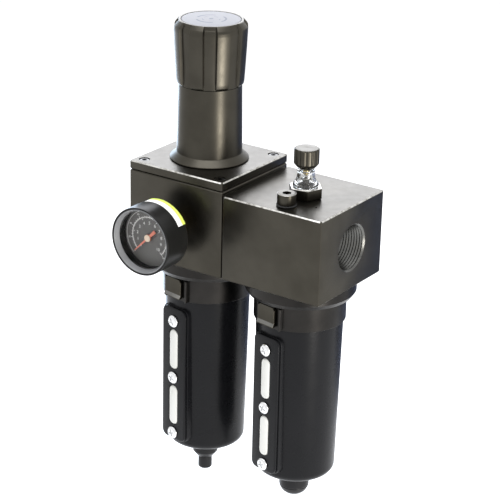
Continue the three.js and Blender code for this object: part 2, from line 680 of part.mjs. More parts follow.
function oilNeedle() {
  return turned([[0, 46.8], [1, 47.6], [1.6, 49.2], [2.3, 49.2], [2.3, 60], [0, 60]], SMALL);
}

function oilKnob() {
  const bottom = DOME_TOP + GAP;
  return turned([
    [2.6, bottom], [5.2, bottom], [6.6, bottom + 1.4], [OIL_KNOB_RADIUS, bottom + 3.6],
    [OIL_KNOB_RADIUS, OIL_KNOB_TOP - 0.7], [OIL_KNOB_RADIUS - 0.7, OIL_KNOB_TOP], [0, OIL_KNOB_TOP],
    [0, 60.4], [2.6, 60.4],
  ], 16);
}

function venturiBush() {
  const bush = turned([
    [12.4, -12], [JOINT_BORE - GAP, -12], [JOINT_BORE - GAP, 15], [12, 15], [7.5, 0],
  ], 16);
  return cut(alongX(bush), rod(1.6, 6, 15, 12).translate(...FEED_AT, 0));
}

function siphonStrainer() {
  return turned([[0, -180], [3.6, -180], [4, -179.4],
    [4, -168], [2.2, -168], [2.2, -173.5], [0, -173.5]], SMALL);
}

function drainPlug() {
  const seat = BOWL_BOSS_BOTTOM - GAP;
  const plug = turned([
    [0, seat + 6], [6.1, seat + 6], [6.1, seat],
    [11.2, seat], [11.2, PLUG_BOTTOM + 6.5], [9.5, PLUG_BOTTOM + 2.6],
    [6.5, PLUG_BOTTOM], [0, PLUG_BOTTOM],
  ], 16);
  return cut(plug, hexagon(3.4, PLUG_BOTTOM - 2, PLUG_BOTTOM + 7));
}

function addLubricator(whole) {
  const unit = new THREE.Group();
  unit.position.x = BLOCK + HALF;
  whole.add(unit);
  addPiece(unit, 'lubricator_body', lubricatorBody(), 'anodised');
  addPiece(unit, 'venturi_bush', venturiBush(), 'brass');
  addPiece(unit, 'dome_base', domeBase().translate(...FEED_AT, 0), 'anodised');
  addPiece(unit, 'sight_dome', sightDome().translate(...FEED_AT, 0), 'clear');
  addPiece(unit, 'oil_needle', oilNeedle().translate(...FEED_AT, 0), 'brass');
  addPiece(unit, 'oil_knob', oilKnob().translate(...FEED_AT, 0), 'anodised');
  const [fillX, fillY] = FILL_PLUG_AT;
  const washerTop = LUBRICATOR_TOP + GAP + 1;
  const washer = ring(5.1, 7.2, LUBRICATOR_TOP + GAP, washerTop, 16).translate(fillX, fillY, 0);
  addPiece(unit, 'fill_plug_washer', washer, 'rubber');
  const plug = socketScrew(6.75, FILL_PLUG_HEAD, 4.8, 18, washerTop + GAP, 3.4).translate(fillX, fillY, 0);
  addPiece(unit, 'fill_plug', plug, 'anodised');
  const tube = ring(0.9, 1.8, -172.8, 20, 12).translate(0, SIPHON_Y, 0);
  addPiece(unit, 'siphon_tube', tube, 'white_plastic');
  addPiece(unit, 'siphon_strainer', siphonStrainer().translate(0, SIPHON_Y, 0), 'sintered');
  addBowl(unit, 'oil_bowl', 'oil');
  addPiece(unit, 'oil_drain_plug', drainPlug(), 'black_steel');
}

function addJoint(whole) {
  addPiece(whole, 'joining_nipple', alongX(ring(10.5, JOINT_BORE - GAP, BLOCK - 12, BLOCK + 12, 16)), 'brass');
  addPiece(whole, 'joint_seal', alongX(sealRing(18.5, 1.3, BLOCK - 1.7)), 'rubber');
}

const unit = new THREE.Group();
addRegulator(unit);
addLubricator(unit);
addJoint(unit);

export default unit;
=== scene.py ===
import math

import bpy
import bmesh
from mathutils import Matrix, Vector


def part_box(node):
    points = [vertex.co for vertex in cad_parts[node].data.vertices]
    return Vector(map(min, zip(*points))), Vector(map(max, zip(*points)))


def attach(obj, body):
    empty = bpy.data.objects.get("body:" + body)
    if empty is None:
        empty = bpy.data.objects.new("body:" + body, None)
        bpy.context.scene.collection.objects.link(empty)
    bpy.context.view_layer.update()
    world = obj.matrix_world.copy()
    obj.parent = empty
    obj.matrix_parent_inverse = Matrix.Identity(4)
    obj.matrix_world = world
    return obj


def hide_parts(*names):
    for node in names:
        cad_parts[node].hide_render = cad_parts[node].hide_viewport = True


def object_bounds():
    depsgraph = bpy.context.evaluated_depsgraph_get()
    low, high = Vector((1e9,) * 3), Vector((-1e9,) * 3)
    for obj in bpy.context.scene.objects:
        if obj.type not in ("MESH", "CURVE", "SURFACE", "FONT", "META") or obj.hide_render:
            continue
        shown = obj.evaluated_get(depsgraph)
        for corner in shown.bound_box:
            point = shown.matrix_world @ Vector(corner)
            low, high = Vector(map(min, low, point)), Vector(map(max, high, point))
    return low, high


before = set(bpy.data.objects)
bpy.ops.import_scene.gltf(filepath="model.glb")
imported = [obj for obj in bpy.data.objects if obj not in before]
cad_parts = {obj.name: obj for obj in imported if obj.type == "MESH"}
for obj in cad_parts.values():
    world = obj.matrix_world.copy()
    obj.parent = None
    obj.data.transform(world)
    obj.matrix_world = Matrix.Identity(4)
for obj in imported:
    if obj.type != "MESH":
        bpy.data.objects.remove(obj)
CAD_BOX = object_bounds()

# The pieces are drawn in millimetres, each on its own unit's axis, and placed in metres.
MM = 0.001
TURN = 96  # sides of a large turned piece
FINE = 48  # sides of a small one


def axis_of(node):
    low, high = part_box(node)
    middle = (low + high) / 2
    return Matrix.Translation((middle.x, middle.y, 0))


REGULATOR = axis_of("adjusting_knob")
LUBRICATOR = axis_of("oil_drain_plug")
FEED = axis_of("oil_knob")
FILL = axis_of("fill_plug")
BOWL_TURN = Matrix.Rotation(math.radians(-10), 4, "Z")
TO_FRONT = Matrix.Rotation(math.radians(90), 4, "X")
TO_BACK = Matrix.Rotation(math.radians(-90), 4, "X")
TO_RIGHT = Matrix.Rotation(math.radians(90), 4, "Y")

BLOCK_HALF = 41.25
BLOCK_BOTTOM = -31.5
NECK_TOP = -31.6
COVER_TOP = 41.0
LUBRICATOR_TOP = 31.5
BONNET_TOP = 97.2
COVER_SCREW_SPREAD = 33.5
LABEL_COLOUR_EDGE = -0.0618  # metres; the label is coloured behind this
FLOOR_DROP = 0.32  # metres from the unit's foot to the floor


# ---- finishes ----

class Flow:
    """One shader value. Python's operators on it add Math nodes."""

    def __init__(self, finish, socket):
        self.finish = finish
        self.socket = socket

    def math(self, operation, *others):
        return self.finish.node("ShaderNodeMath", {"operation": operation}, self, *others)

    def __add__(self, other):
        return self.math("ADD", other)

    def __mul__(self, other):
        return self.math("MULTIPLY", other)

    def __sub__(self, other):
        return self.math("SUBTRACT", other)

    def __rsub__(self, other):
        return self.finish.node("ShaderNodeMath", {"operation": "SUBTRACT"}, other, self)

    def __gt__(self, other):
        return self.math("GREATER_THAN", other)

    def __lt__(self, other):
        return self.math("LESS_THAN", other)

    __radd__ = __add__
    __rmul__ = __mul__


class Finish:
    """A material: its shader's own values, and one way to add any other node."""

    def __init__(self, name, color, roughness, metallic=0.0, **shader_values):
        self.material = bpy.data.materials.new(name)
        self.material.use_nodes = True
        self.tree = self.material.node_tree
        self.shader = self.tree.nodes["Principled BSDF"]
        self.set("Base Color", (*color, 1.0))
        self.set("Roughness", roughness)
        self.set("Metallic", metallic)
        for key, value in shader_values.items():
            self.set(key.replace("_", " "), value)

    def set(self, socket_name, value):
        self.join(self.shader.inputs[socket_name], value)

    def join(self, socket, value):
        if isinstance(value, Flow):
            self.tree.links.new(value.socket, socket)
        else:
            socket.default_value = value

    def node(self, kind, settings, *values, output=0, **named):
        made = self.tree.nodes.new(kind)
        for key, value in settings.items():
            if key == "stops":
                self.set_stops(made.color_ramp, value)
            else:
                setattr(made, key, value)
        free = [socket for socket in made.inputs if socket.enabled]
        for socket, value in zip(free, values):
            self.join(socket, value)
        for key, value in named.items():
            self.join(next(s for s in free if s.name == key.replace("_", " ")), value)
        shown = [socket for socket in made.outputs if socket.enabled]
        return Flow(self, shown[output])

    @staticmethod
    def set_stops(ramp, stops):
        while len(ramp.elements) < len(stops):
            ramp.elements.new(0.5)
        for element, (place, value) in zip(ramp.elements, stops):
            element.position = place
            element.color = (value, value, value, 1) if isinstance(value, float) else (*value, 1)

    def place(self):
        return self.node("ShaderNodeTexCoord", {}, output=3)

    def along(self, axis):
        """How far a place lies along one axis: 0 is X, 1 is Y, 2 is Z."""
        return self.node("ShaderNodeSeparateXYZ", {}, self.place(), output=axis)

    def noise(self, scale, detail=3.0, stretch=(1, 1, 1)):
        spread = self.node("ShaderNodeMapping", {}, Vector=self.place(), Scale=stretch)
        return self.node("ShaderNodeTexNoise", {}, Vector=spread, Scale=scale, Detail=detail)

    def ramp(self, value, *stops):
        return self.node("ShaderNodeValToRGB", {"stops": stops}, Fac=value)

    def mix(self, factor, first, second):
        as_color = [c if isinstance(c, Flow) else (*c, 1.0) for c in (first, second)]
        return self.node(
            "ShaderNodeMix", {"data_type": "RGBA"}, Factor=factor, A=as_color[0], B=as_color[1])

    def bump(self, height, strength, depth):
        self.set("Normal", self.node(
            "ShaderNodeBump", {}, Height=height, Strength=strength, Distance=depth))


def anodised(name, dark, light, grain=900, rough=0.3):
    finish = Finish(name, dark, rough, 1.0)
    cloud = finish.ramp(finish.noise(38, 4), (0.35, 0.0), (0.65, 1.0))
    finish.set("Base Color", finish.mix(cloud, dark, light))
    finish.set("Roughness", finish.noise(160, 5) * 0.14 + (rough - 0.07))
    finish.bump(finish.noise(grain, 2), 0.10, 0.0002)
    return finish.material


def bare_edge():
    finish = Finish("bare_edge_aluminium", (0.62, 0.61, 0.58), 0.3, 1.0)
    wear = finish.ramp(finish.noise(260, 5), (0.3, 0.0), (0.62, 1.0))
    finish.set("Base Color", finish.mix(wear, (0.3, 0.29, 0.26), (0.68, 0.67, 0.64)))
    finish.set("Roughness", wear * 0.15 + 0.22)
    return finish.material


def black_enamel():
    finish = Finish("black_enamel", (0.005, 0.005, 0.006), 0.28, Specular_IOR_Level=0.16)
    cloud = finish.noise(24, 4)
    finish.set("Base Color", finish.mix(cloud, (0.004, 0.0042, 0.005), (0.008, 0.0082, 0.0095)))
    finish.set("Roughness", finish.noise(90, 4) * 0.12 + 0.22)
    finish.bump(finish.noise(420, 2), 0.12, 0.0003)
    return finish.material


def machined(name, dark, light, rough=0.28, lines=(1, 1, 40)):
    finish = Finish(name, dark, rough, 1.0)
    scratches = finish.noise(120, 4, lines)
    finish.set("Base Color", finish.mix(scratches, dark, light))
    finish.set("Roughness", scratches * 0.2 + (rough - 0.1))
    finish.bump(scratches, 0.15, 0.0001)
    return finish.material


def moulded(name, dark, light, rough, grain=500, **shader_values):
    finish = Finish(name, dark, rough, **shader_values)
    finish.set("Base Color", finish.mix(finish.noise(60, 4), dark, light))
    finish.set("Roughness", finish.noise(140, 3) * 0.12 + (rough - 0.06))
    finish.bump(finish.noise(grain, 2), 0.08, 0.0002)
    return finish.material


def porous_bronze():
    finish = Finish("porous_sintered", (0.5, 0.45, 0.34), 0.85, 0.3)
    grains = finish.node("ShaderNodeTexVoronoi", {}, Vector=finish.place(), Scale=1400.0)
    finish.set("Base Color", finish.mix(grains, (0.62, 0.57, 0.45), (0.25, 0.22, 0.16)))
    finish.bump(grains, 0.6, 0.0003)
    return finish.material


def clear_plastic(name, tint, rough=0.02, bend=1.49):
    finish = Finish(name, tint, rough, Transmission_Weight=1.0, IOR=bend)
    finish.set("Roughness", finish.noise(70, 4) * 0.03 + rough)
    return finish.material


def sight_plastic():
    finish = Finish("sight_lens_plastic", (0.86, 0.87, 0.83), 0.16, Transmission_Weight=0.25, IOR=1.49)
    cloud = finish.noise(90, 4, (1, 1, 0.3))
    finish.set("Base Color", finish.mix(cloud, (0.74, 0.74, 0.68), (0.93, 0.94, 0.93)))
    finish.set("Roughness", cloud * 0.12 + 0.1)
    finish.bump(finish.noise(240, 2), 0.1, 0.0002)
    return finish.material


def dial_black():
    finish = Finish("dial_black", (0.12, 0.12, 0.115), 0.45)
    finish.set("Base Color", finish.mix(finish.noise(500, 3), (0.10, 0.098, 0.094), (0.17, 0.168, 0.16)))
    finish.set("Roughness", finish.noise(300, 3) * 0.2 + 0.35)
    return finish.material


def knob_disc():
    """Pale satin disc with a printed turning mark: a broken ring, a dashed inner ring and a centre dot."""
    finish = Finish("knob_disc_satin", (0.2, 0.2, 0.23), 0.45, Specular_IOR_Level=0.1)
    x = finish.along(0) - REGULATOR.translation.x
    y = finish.along(1)
    radius = (x * x + y * y).math("SQRT")
    angle = y.math("ARCTAN2", x)
    broken = (angle * 3.0).math("SINE") > -0.55
    ring = (radius > 0.0098) * (radius < 0.0112) * broken
    inner = (radius > 0.0060) * (radius < 0.0066) * ((angle * 5.0).math("SINE") > 0.1)
    dot = radius < 0.0016
    print_mask = (ring + inner + dot).math("MINIMUM", 1.0)
    brushed = finish.noise(150, 4, (1, 30, 1))
    ground = finish.mix(brushed, (0.20, 0.205, 0.225), (0.26, 0.265, 0.29))
    finish.set("Base Color", finish.mix(print_mask * 0.8, ground, (0.07, 0.08, 0.12)))
    finish.set("Roughness", brushed * 0.12 + 0.4)
    return finish.material


def label_paper():
    """White band whose rear edge is yellow-green."""
    finish = Finish("label_paper", (0.9, 0.9, 0.88), 0.5)
    rear = finish.along(1) > LABEL_COLOUR_EDGE
    fibres = finish.mix(finish.noise(700, 3), (0.86, 0.86, 0.84), (0.95, 0.95, 0.93))
    finish.set("Base Color", finish.mix(rear, fibres, (0.62, 0.75, 0.12)))
    finish.bump(finish.noise(900, 2), 0.1, 0.0001)
    return finish.material


SATIN = anodised("satin_anodised", (0.052, 0.048, 0.039), (0.066, 0.061, 0.050), rough=0.34)
# Painted shade: a darker copy of the satin anodising for the bowl mouths and bayonet rings, standing in for
# the shade under the blocks.
PAINTED_SHADE = anodised("painted_shade_anodised", (0.022, 0.021, 0.020), (0.034, 0.032, 0.030), rough=0.36)
# Painted highlight: a paler copy of the anodising for the upward faces of the latch lips, standing in for
# the light falling on them.
PAINTED_HIGHLIGHT = anodised("painted_highlight_anodised", (0.13, 0.128, 0.12), (0.26, 0.255, 0.24), rough=0.4)
BARE = bare_edge()
ENAMEL = black_enamel()
ZINC = machined("bright_zinc", (0.66, 0.67, 0.68), (0.85, 0.85, 0.85), 0.24)
PORT_METAL = machined("port_metal", (0.05, 0.05, 0.048), (0.2, 0.2, 0.19))
BLACKENED = machined("blackened_steel", (0.03, 0.03, 0.03), (0.07, 0.07, 0.07))
STEEL = machined("machined_steel", (0.36, 0.36, 0.36), (0.5, 0.5, 0.5))
BRASS = machined("machined_brass", (0.5, 0.38, 0.17), (0.66, 0.53, 0.27))
BLACK_FITTING = moulded("black_fitting", (0.007, 0.007, 0.008), (0.014, 0.014, 0.015), 0.36,
                        Specular_IOR_Level=0.2)
GAUGE_BLACK = moulded("gauge_black", (0.006, 0.006, 0.006), (0.011, 0.011, 0.010), 0.34, 700,
                      Specular_IOR_Level=0.22)
GAUGE_RIM = moulded("gauge_rim_plastic", (0.12, 0.12, 0.125), (0.34, 0.35, 0.36), 0.2, 300)
CLEAR = clear_plastic("clear_polycarbonate", (0.97, 0.98, 0.98))
LENS = clear_plastic("gauge_lens_plastic", (0.97, 0.97, 0.97), 0.0, 1.1)
SIGHT = sight_plastic()
RUBBER = moulded("seal_rubber", (0.018, 0.018, 0.018), (0.03, 0.03, 0.03), 0.7)
WHITE = moulded("white_plastic", (0.78, 0.78, 0.75), (0.86, 0.86, 0.84), 0.45)
POROUS = porous_bronze()
DIAL = dial_black()
PRINT = moulded("dial_print", (0.80, 0.80, 0.78), (0.92, 0.92, 0.9), 0.5)
RED = moulded("pointer_red", (0.72, 0.20, 0.13), (0.84, 0.30, 0.21), 0.42)
CREAM = moulded("pointer_hub", (0.80, 0.62, 0.46), (0.90, 0.75, 0.60), 0.4)
DISC = knob_disc()
LABEL = label_paper()


# ---- solids ----

def fillet(profile, radius, steps=4):
    """The profile with its inner corners rounded; a corner on the axis stays."""
    last = len(profile) - 1
    closed = profile[0][0] > 0
    smooth = []
    for i, point in enumerate(profile):
        here = Vector(point)
        if not closed and i in (0, last):
            smooth.append(here)
            continue
        before = Vector(profile[i - 1])
        after = Vector(profile[(i + 1) % len(profile)])
        reach = min(radius, 0.45 * (before - here).length, 0.45 * (after - here).length)
        start = here + (before - here).normalized() * reach
        end = here + (after - here).normalized() * reach
        for step in range(steps + 1):
            t = step / steps
            smooth.append(start * (1 - t) ** 2 + here * 2 * t * (1 - t) + end * t ** 2)
    return smooth


def turned(profile, sides=TURN, wave=None, rounding=0.0):
    """A closed solid of revolution round Z. wave(angle, radius, height) gives each point's radius."""
    points = fillet(profile, rounding) if rounding else [Vector(p) for p in profile]
    solid = bmesh.new()
    rows = []
    for radius, height in points:
        if radius < 1e-6:
            rows.append([solid.verts.new((0, 0, height))] * sides)
            continue
        row = []
        for i in range(sides):
            angle = 2 * math.pi * i / sides
            reach = wave(angle, radius, height) if wave else radius
            row.append(solid.verts.new((reach * math.cos(angle), reach * math.sin(angle), height)))
        rows.append(row)
    if points[0][0] > 0:
        rows.append(rows[0])
    for lower, upper in zip(rows, rows[1:]):
        for i in range(sides):
            j = (i + 1) % sides
            corners = list(dict.fromkeys((lower[i], lower[j], upper[j], upper[i])))
            if len(corners) > 2:
                solid.faces.new(corners)
    bmesh.ops.recalc_face_normals(solid, faces=solid.faces)
    return solid


def rod(radius, low, high, sides=FINE):
    return turned([(0, low), (radius, low), (radius, high), (0, high)], sides)


def tube(inner, outer, low, high, sides=TURN, rounding=0.0):
    return turned([(inner, low), (outer, low), (outer, high), (inner, high)], sides, None, rounding)


def extruded(outline, low, high, bevel=0.0, top_only=False):
    """A prism on a closed outline in XY, with its rims bevelled."""
    solid = bmesh.new()
    base = solid.faces.new([solid.verts.new((x, y, low)) for x, y in outline])
    raised = bmesh.ops.extrude_face_region(solid, geom=[base])
    moved = [v for v in raised["geom"] if isinstance(v, bmesh.types.BMVert)]
    bmesh.ops.translate(solid, verts=moved, vec=(0, 0, high - low))
    bmesh.ops.recalc_face_normals(solid, faces=solid.faces)
    if bevel:
        floor = high - 1e-4 if top_only else low - 1
        rims = [
            e for e in solid.edges
            if abs(e.verts[0].co.z - e.verts[1].co.z) < 1e-6 and e.verts[0].co.z > floor]
        bmesh.ops.bevel(solid, geom=rims, offset=bevel, segments=3, profile=0.5, affect="EDGES")
    return solid


def round_outline(width, height, corner, steps=8):
    points = []
    for turn in range(4):
        sign_x = 1 if turn in (0, 3) else -1
        sign_y = 1 if turn in (0, 1) else -1
        for step in range(steps + 1):
            angle = math.radians(90 * turn + 90 * step / steps)
            points.append((
                sign_x * (width / 2 - corner) + corner * math.cos(angle),
                sign_y * (height / 2 - corner) + corner * math.sin(angle)))
    return points


def polygon(radius, sides, phase=0.0):
    angles = [2 * math.pi * i / sides + phase for i in range(sides)]
    return [(radius * math.cos(a), radius * math.sin(a)) for a in angles]


def box(low, high):
    solid = bmesh.new()
    bmesh.ops.create_cube(solid, size=1)
    for vert in solid.verts:
        vert.co = Vector([low[k] if vert.co[k] < 0 else high[k] for k in range(3)])
    return solid


def front_plate(width, low, high, back, front, corner, bevel=0.0):
    """An upright plate facing the front, between two distances from the axis."""
    solid = extruded(round_outline(width, high - low, corner), back, front, bevel, True)
    bmesh.ops.transform(
        solid, matrix=Matrix.Translation((0, 0, (low + high) / 2)) @ TO_FRONT, verts=solid.verts)
    return solid


def moved(solid, matrix):
    bmesh.ops.transform(solid, matrix=matrix, verts=solid.verts)
    return solid


def shift(x=0, y=0, z=0):
    return Matrix.Translation((x, y, z))


def as_object(solid, name="work"):
    mesh = bpy.data.meshes.new(name)
    solid.to_mesh(mesh)
    solid.free()
    carried = mesh.attributes.get("custom_normal")
    if carried:
        mesh.attributes.remove(carried)
    made = bpy.data.objects.new(name, mesh)
    bpy.context.scene.collection.objects.link(made)
    return made


def combined(base, joins=(), cuts=()):
    """base with other solids joined to it and then cut from it."""
    work = as_object(base)
    tools = []
    for operation, solids in (("UNION", joins), ("DIFFERENCE", cuts)):
        for solid in solids:
            tool = as_object(solid, "tool")
            modifier = work.modifiers.new("shape", "BOOLEAN")
            modifier.operation = operation
            modifier.solver = "EXACT"
            modifier.object = tool
            tools.append(tool)
    bpy.context.view_layer.update()
    ready = work.evaluated_get(bpy.context.evaluated_depsgraph_get())
    result = bmesh.new()
    result.from_mesh(ready.to_mesh())
    ready.to_mesh_clear()
    for done in [work, *tools]:
        bpy.data.objects.remove(done)
    return result


def cad_solid(node, place):
    """A CAD node's own shape in millimetres on its unit's axis, to be worked further."""
    solid = bmesh.new()
    solid.from_mesh(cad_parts[node].data)
    bmesh.ops.remove_doubles(solid, verts=solid.verts, dist=1e-6)
    to_unit = Matrix.Scale(1 / MM, 4) @ place.inverted()
    bmesh.ops.transform(solid, matrix=to_unit, verts=solid.verts)
    bmesh.ops.recalc_face_normals(solid, faces=solid.faces)
    return solid


def piece(name, solid, place, material, body, nodes=(), sharp=32, extras=(), rule=None):
    """Puts a finished solid in the scene. rule(normal, centre) gives a face's place in the materials."""
    for vert in solid.verts:
        vert.co = Vector([round(value, 3) for value in vert.co])
    bmesh.ops.remove_doubles(solid, verts=solid.verts, dist=1e-4)
    bmesh.ops.transform(solid, matrix=place @ Matrix.Scale(MM, 4), verts=solid.verts)
    solid.normal_update()
    if extras:
        to_unit = Matrix.Scale(1 / MM, 4) @ place.inverted()
        for face in solid.faces:
            face.material_index = int(rule(face.normal, to_unit @ face.calc_center_median()))
    for face in solid.faces:
        face.smooth = max(abs(n) for n in face.normal) < 0.9999
    made = as_object(solid, name)
    made.name = name
    made.data.name = name
    for each in (material, *extras):
        made.data.materials.append(each)
    made.data.set_sharp_from_angle(angle=math.radians(sharp))
    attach(made, body)
    if nodes:
        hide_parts(*nodes)
    return made


def on_upper_chamfer(normal, centre):
    """The straight bevelled edges round a block's top: two axes share the normal."""
    parts = sorted(abs(n) for n in normal)
    far = max(abs(centre.x), abs(centre.y)) > BLOCK_HALF - 1.2
    return far and parts[0] < 0.1 and parts[1] > 0.5 and normal.z > -0.1 and centre.z > BLOCK_BOTTOM


def in_port(normal, centre):
    """The thread and mouth of an end port."""
    return abs(centre.x) > 15 and math.hypot(centre.y, centre.z) < 18.8 and abs(normal.x) < 0.98


# ---- blocks, cover and bonnet ----

def port_cutter(depth):
    """A chamfered mouth and a threaded bore, from height 0 inwards along +Z."""
    radius, pitch, height = 16.2, 2.2, 1.0
    profile = [(0, -1), (radius + 2.4, -1), (radius + 0.25, 1.2)]
    crest = 1.2
    while crest + pitch < depth:
        profile += [(radius + height * 0.9, crest + pitch / 2), (radius + 0.2, crest + pitch)]
        crest += pitch
    return turned(profile + [(radius + 0.2, depth), (0, depth)], TURN)


def neck_ring():
    """The bowl's mouth under a block, with the bayonet groove and its entry slots."""
    ring = turned([
        (36, -42.5), (38, -42.5), (40.4, -39), (40.4, NECK_TOP), (36, NECK_TOP), (36, -36.3),
        (38.3, -36.3), (38.3, -40.1), (36, -40.1),
    ], TURN)
    return combined(ring, cuts=[lug_slot(60 + 120 * i) for i in range(3)])


def below_block():
    return box((-60, -60, -60), (60, 60, BLOCK_BOTTOM))


def lug_slot(middle):
    steps = [math.radians(middle - 15 + 30 * i / 10) for i in range(11)]
    outline = [(38.3 * math.cos(a), 38.3 * math.sin(a)) for a in steps]
    outline += [(34 * math.cos(a), 34 * math.sin(a)) for a in reversed(steps)]
    return extruded(outline, -44, -39)


def make_blocks():
    gauge_port = moved(rod(6.85, BLOCK_HALF - 3, BLOCK_HALF + 1), TO_FRONT)
    rear_port = moved(rod(6.85, BLOCK_HALF - 3, BLOCK_HALF + 1), TO_BACK)
    inlet = moved(port_cutter(21.3), shift(-BLOCK_HALF) @ TO_RIGHT)
    body = combined(cad_solid("filter_regulator_body", REGULATOR), cuts=[below_block()])
    body = combined(body, cuts=[inlet, gauge_port, rear_port])
    piece("filter_regulator_casting", body, REGULATOR, SATIN, "housing",
          ["filter_regulator_body"], 30, (PORT_METAL,), in_port)

    outlet = moved(port_cutter(24.3), shift(BLOCK_HALF) @ Matrix.Rotation(math.pi, 4, "Z") @ TO_RIGHT)
    vent = rod(0.9, LUBRICATOR_TOP - 0.8, LUBRICATOR_TOP + 1, 16)
    body = combined(cad_solid("lubricator_body", LUBRICATOR), cuts=[below_block()])
    vent = moved(vent, shift(22.5, -19))
    body = combined(body, cuts=[outlet, vent])
    piece("lubricator_casting", body, LUBRICATOR, SATIN, "housing",
          ["lubricator_body"], 30, (BARE, PORT_METAL),
          lambda normal, centre: 2 if in_port(normal, centre) else on_upper_chamfer(normal, centre))

    # The bowl mouths take the darker anodising: painted shade under the block.
    for name, unit in (("filter_regulator", REGULATOR), ("lubricator", LUBRICATOR)):
        piece(f"{name}_bayonet_mouth", neck_ring(), unit, PAINTED_SHADE, "housing",
              [f"{name}_body"], 30)

    signs = ((-1, -1), (1, -1), (1, 1), (-1, 1))
    corners = [(x * COVER_SCREW_SPREAD, y * COVER_SCREW_SPREAD) for x, y in signs]
    counterbores = [moved(rod(4.1, 36.5, 43), shift(x, y)) for x, y in corners]
    plate = combined(cad_solid("cover_plate", REGULATOR), cuts=counterbores)
    piece("cover_plate_casting", plate, REGULATOR, SATIN, "housing",
          ["cover_plate"], 30, (BARE,), on_upper_chamfer)
    for i, (x, y) in enumerate(corners):
        screw = socket_screw(3.7, 3.8, 2.3, 16, 36.8, 1.9)
        piece(f"cover_socket_screw_{i + 1}", screw, REGULATOR @ shift(x * MM, y * MM), BLACKENED,
              "housing", [f"cover_screw_{i + 1}"])


def socket_screw(head, height, shank, end, seat, socket):
    top = seat + height
    profile = [(0, end), (shank, end), (shank, seat), (head, seat), (head, top), (0, top)]
    recess = extruded(polygon(socket, 6), top - height * 0.6, top + 1)
    return combined(turned(profile, FINE, None, 0.4), cuts=[recess])


def make_bonnet():
    foot = COVER_TOP + 0.3
    shell = turned([
        (19, 36.5), (20.7, 36.5), (20.7, foot), (28.8, foot), (28.8, foot + 0.7), (23.9, foot + 5),
        (22.9, BONNET_TOP), (17.5, BONNET_TOP), (17.5, 103), (5.6, 103),
        (5.6, 98), (14, 98), (14, 93), (19, 88),
    ], TURN, None, 0.35)
    key = box((-1.5, 17.2, 60), (1.5, 19.8, 90))
    piece("spring_bonnet_shell", combined(shell, joins=[key]), REGULATOR, SATIN, "housing",
          ["spring_bonnet"], 30)


LOBE_START = 11.8
LOBE_DEPTH = 2.1
FLUTE_FLOOR = 23.1


def lobe(angle, radius, height):
    """Grip lobes: eight lands with shallow flutes between them, running out into the top chamfer."""
    if radius < FLUTE_FLOOR:
        return radius
    phase = (math.degrees(angle) - LOBE_START + 22.5) % 45 - 22.5
    land = 1 - min(max((abs(phase) - 11.0) / 2.2, 0), 1)
    land = land * land * (3 - 2 * land)
    return radius - min(LOBE_DEPTH * (1 - land), radius - FLUTE_FLOOR)


def make_knob():
    low, top = BONNET_TOP + 0.3, 144
    profile = [
        (0, 119), (5.1, 119), (5.1, 103.4), (8.5, 103.4), (8.5, 139.5), (18, 139.5), (18, low),
        (23.3, low), (24.5, low + 1.3), (24.9, low + 4), (25.6, 113), (26.3, 126), (26.8, 137),
        (26.6, 139.6), (25.9, 140.9), (23.6, top - 0.4), (22.8, top), (21.5, top),
        (21.5, top - 1.4), (0, top - 1.4),
    ]
    grip = turned(profile, 360, lobe, 0.5)
    piece("grip_knob", grip, REGULATOR, SATIN, "adjusting_knob", ["adjusting_knob"], 26)
    disc = turned([(0, top - 1.2), (21.2, top - 1.2), (21.2, top - 0.1), (0, top - 0.1)], TURN, None, 0.3)
    piece("knob_disc", disc, REGULATOR, DISC, "adjusting_knob", ["knob_cap_disc"])


# ---- gauge ----

def make_gauge():
    case = turned([
        (5.4, 57), (23, 57), (25, 59.2), (25, 79), (25, 82.25), (23.8, 82.25), (23.8, 60),
        (22.6, 58.2), (5.4, 58.2),
    ], TURN, None, 0.7)
    piece("gauge_can", moved(case, TO_FRONT), REGULATOR, GAUGE_BLACK, "housing",
          ["gauge_case"], 28)
    rim = turned([(21.5, 77.6), (23.5, 79.2), (23.5, 81.9), (22.9, 81.9)], TURN, None, 0.25)
    piece("gauge_lens_rim", moved(rim, TO_FRONT), REGULATOR, GAUGE_RIM, "housing", [], 28)
    lens = turned([(0, 75.8), (21.4, 75.8), (21.4, 77.2), (0, 77.2)], TURN, None, 0.2)
    piece("gauge_window", moved(lens, TO_FRONT), REGULATOR, LENS, "housing",
          ["gauge_lens"], 28)
    inner = turned([(21.4, 71.2), (23.3, 71.2), (23.3, 75.5), (21.9, 75.5)], TURN, None, 0.2)
    piece("gauge_dial_ring", moved(inner, TO_FRONT), REGULATOR, GAUGE_BLACK, "housing")
    dial = tube(1.6, 21.3, 70, 70.8, TURN, 0.1)
    piece("gauge_dial_plate", moved(dial, TO_FRONT), REGULATOR, DIAL, "housing",
          ["gauge_dial"])
    make_dial_marks()
    make_pointer()
    stem = turned([
        (1.5, 25), (6.4, 25), (6.4, 41.6), (5.6, 41.6), (5.6, 43.4), (5, 43.4), (5, 58.6), (7, 58.6),
        (7, 61.6), (1.5, 61.6),
    ], FINE, None, 0.2)
    nut = combined(extruded(polygon(8.1, 6), 43, 50, 0.5), cuts=[rod(4.4, 42, 51)])
    piece("gauge_stem_hexagon", moved(combined(stem, joins=[nut]), TO_FRONT), REGULATOR, BRASS,
          "housing", ["gauge_stem"])
    make_label()


DIAL_FRONT = 70.85
ZERO_ANGLE = 225.0
SWEEP = 270.0


def dial_point(radius, clockwise):
    angle = math.radians(clockwise)
    return Vector((radius * math.sin(angle), radius * math.cos(angle)))


def dial_bar(marks, radius, length, width, clockwise):
    along = dial_point(1, clockwise)
    across = Vector((along.y, -along.x)) * width / 2
    ends = [along * radius, along * (radius + length)]
    outline = [ends[0] - across, ends[0] + across, ends[1] + across, ends[1] - across]
    add_prism(marks, outline)


